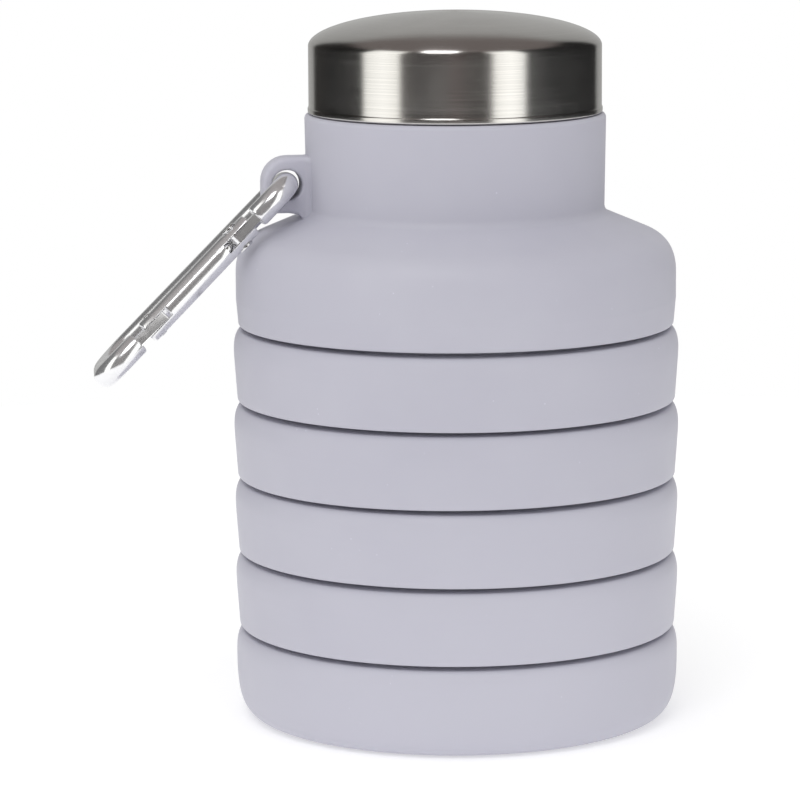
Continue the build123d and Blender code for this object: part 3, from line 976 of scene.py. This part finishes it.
def softbox(name, azimuth, distance, height, size_x, size_y, power, colour=(1, 1, 1)):
    light = bpy.data.lights.new(name, "AREA")
    light.shape = "RECTANGLE"
    light.size, light.size_y = size_x, size_y
    light.energy = power
    light.color = colour
    obj = bpy.data.objects.new(name, light)
    bpy.context.scene.collection.objects.link(obj)
    obj.location = around_at(azimuth, distance, height)
    aim = Vector((0, 0, 0.07)) - obj.location
    obj.rotation_euler = aim.to_track_quat("-Z", "Y").to_euler()
    return obj


softbox("softbox_high", -14, 0.62, 0.80, 0.34, 0.34, 1.7)

# The studio round the object: an even white tent for soft light, and for reflections two tall
# softboxes in front, dark sides, a pale back wall and a dim ceiling.
REFLECTED = (
    (-180, (0.50, 0.50, 0.49)), (-148, (0.40, 0.40, 0.39)), (-143, (0.04, 0.038, 0.036)),
    (-110, (0.015, 0.015, 0.015)), (-78, (0.03, 0.03, 0.028)), (-74, (1.35, 1.35, 1.30)),
    (-58, (1.60, 1.60, 1.55)), (-45, (1.40, 1.39, 1.33)), (-42, (0.12, 0.11, 0.105)),
    (-28, (0.055, 0.05, 0.047)), (-8, (0.09, 0.08, 0.075)), (0, (0.11, 0.085, 0.08)),
    (10, (0.085, 0.075, 0.07)), (22, (0.06, 0.055, 0.05)),
    (28, (0.16, 0.15, 0.145)), (31, (1.40, 1.39, 1.34)), (44, (1.70, 1.70, 1.65)),
    (55, (1.40, 1.40, 1.36)), (58, (0.09, 0.09, 0.088)), (80, (0.03, 0.03, 0.03)),
    (143, (0.02, 0.02, 0.02)), (148, (0.38, 0.38, 0.37)), (180, (0.50, 0.50, 0.49)),
)
CEILING = (0.20, 0.175, 0.168, 1)

world = bpy.data.worlds.new("studio")
world.use_nodes = True
tree = world.node_tree
tree.nodes.clear()


def sky(kind, *values, **settings):
    """World node with its inputs set to numbers or linked to sockets."""
    node = tree.nodes.new(kind)
    for key, value in settings.items():
        setattr(node, key, value)
    for socket, value in zip(node.inputs, values):
        if value is None:
            continue
        if isinstance(value, bpy.types.NodeSocket):
            tree.links.new(value, socket)
        else:
            socket.default_value = value
    return node


toward = (math.sin(math.radians(VIEW_AZ)), -math.cos(math.radians(VIEW_AZ)), 0)
right = (math.cos(math.radians(VIEW_AZ)), math.sin(math.radians(VIEW_AZ)), 0)
ray = sky("ShaderNodeTexCoord").outputs["Generated"]
front = sky("ShaderNodeVectorMath", ray, toward, operation="DOT_PRODUCT").outputs["Value"]
side = sky("ShaderNodeVectorMath", ray, right, operation="DOT_PRODUCT").outputs["Value"]
up = sky("ShaderNodeVectorMath", ray, (0, 0, 1), operation="DOT_PRODUCT").outputs["Value"]
bearing = sky("ShaderNodeMath", side, front, operation="ARCTAN2").outputs[0]
share = sky("ShaderNodeMapRange", bearing, -math.pi, math.pi, 0.0, 1.0).outputs["Result"]
ramp_node = sky("ShaderNodeValToRGB", share)
elements = ramp_node.color_ramp.elements
while len(elements) > 1:
    elements.remove(elements[0])
elements[0].position = 0
for degrees, shade_value in REFLECTED:
    spot = elements[0] if degrees == -180 else elements.new((degrees + 180) / 360)
    spot.color = (*shade_value, 1)
high_map = sky("ShaderNodeMapRange", up, 0.62, 0.78, 0.0, 1.0, interpolation_type="SMOOTHSTEP")
high_share = high_map.outputs["Result"]
mirror_mix = tree.nodes.new("ShaderNodeMix")
mirror_mix.data_type = "RGBA"
tree.links.new(high_share, mirror_mix.inputs["Factor"])
tree.links.new(ramp_node.outputs["Color"], mirror_mix.inputs[6])
mirror_mix.inputs[7].default_value = CEILING
mirrored = sky("ShaderNodeBackground", mirror_mix.outputs[2], 1.0)
# Diffuse light: a little stronger from the left, from the front and from above.
lean = sky("ShaderNodeMath", side, -0.065, operation="MULTIPLY").outputs[0]
facing = sky("ShaderNodeMath", front, 0.095, operation="MULTIPLY").outputs[0]
rise = sky("ShaderNodeMath", up, 0.27, operation="MULTIPLY").outputs[0]
both = sky("ShaderNodeMath", lean, rise, operation="ADD").outputs[0]
all_three = sky("ShaderNodeMath", both, facing, operation="ADD").outputs[0]
strength = sky("ShaderNodeMath", all_three, 0.665, operation="ADD").outputs[0]
tent = sky("ShaderNodeBackground", (0.988, 0.988, 0.985, 1), strength)
backdrop = sky("ShaderNodeBackground", (1, 1, 1, 1), 1.0)
path = tree.nodes.new("ShaderNodeLightPath")
first = sky("ShaderNodeMixShader", path.outputs["Is Glossy Ray"], tent.outputs[0], mirrored.outputs[0])
second = sky("ShaderNodeMixShader", path.outputs["Is Camera Ray"], first.outputs[0], backdrop.outputs[0])
out = sky("ShaderNodeOutputWorld", second.outputs[0])
world.cycles.sampling_method = "NONE"
bpy.context.scene.world = world
bpy.context.scene.view_settings.view_transform = "Standard"

camera_data = bpy.data.cameras.new("camera")
camera_data.sensor_width = 36.0
camera_data.lens = 4047.4 / 800 * 36.0
camera_data.clip_start = 0.02
camera_data.clip_end = 50
camera = bpy.data.objects.new("camera", camera_data)
bpy.context.scene.collection.objects.link(camera)
camera.location = around_at(0, CAMERA_BACK, (LIP + CAMERA_OVER_LIP) * MM)
pan = Matrix.Rotation(math.radians(VIEW_AZ + CAMERA_PAN), 4, "Z")
tilt = Matrix.Rotation(math.radians(90 - CAMERA_DOWN), 4, "X")
roll = Matrix.Rotation(math.radians(CAMERA_ROLL), 4, "Z")
camera.rotation_euler = (pan @ tilt @ roll).to_euler()
bpy.context.scene.camera = camera
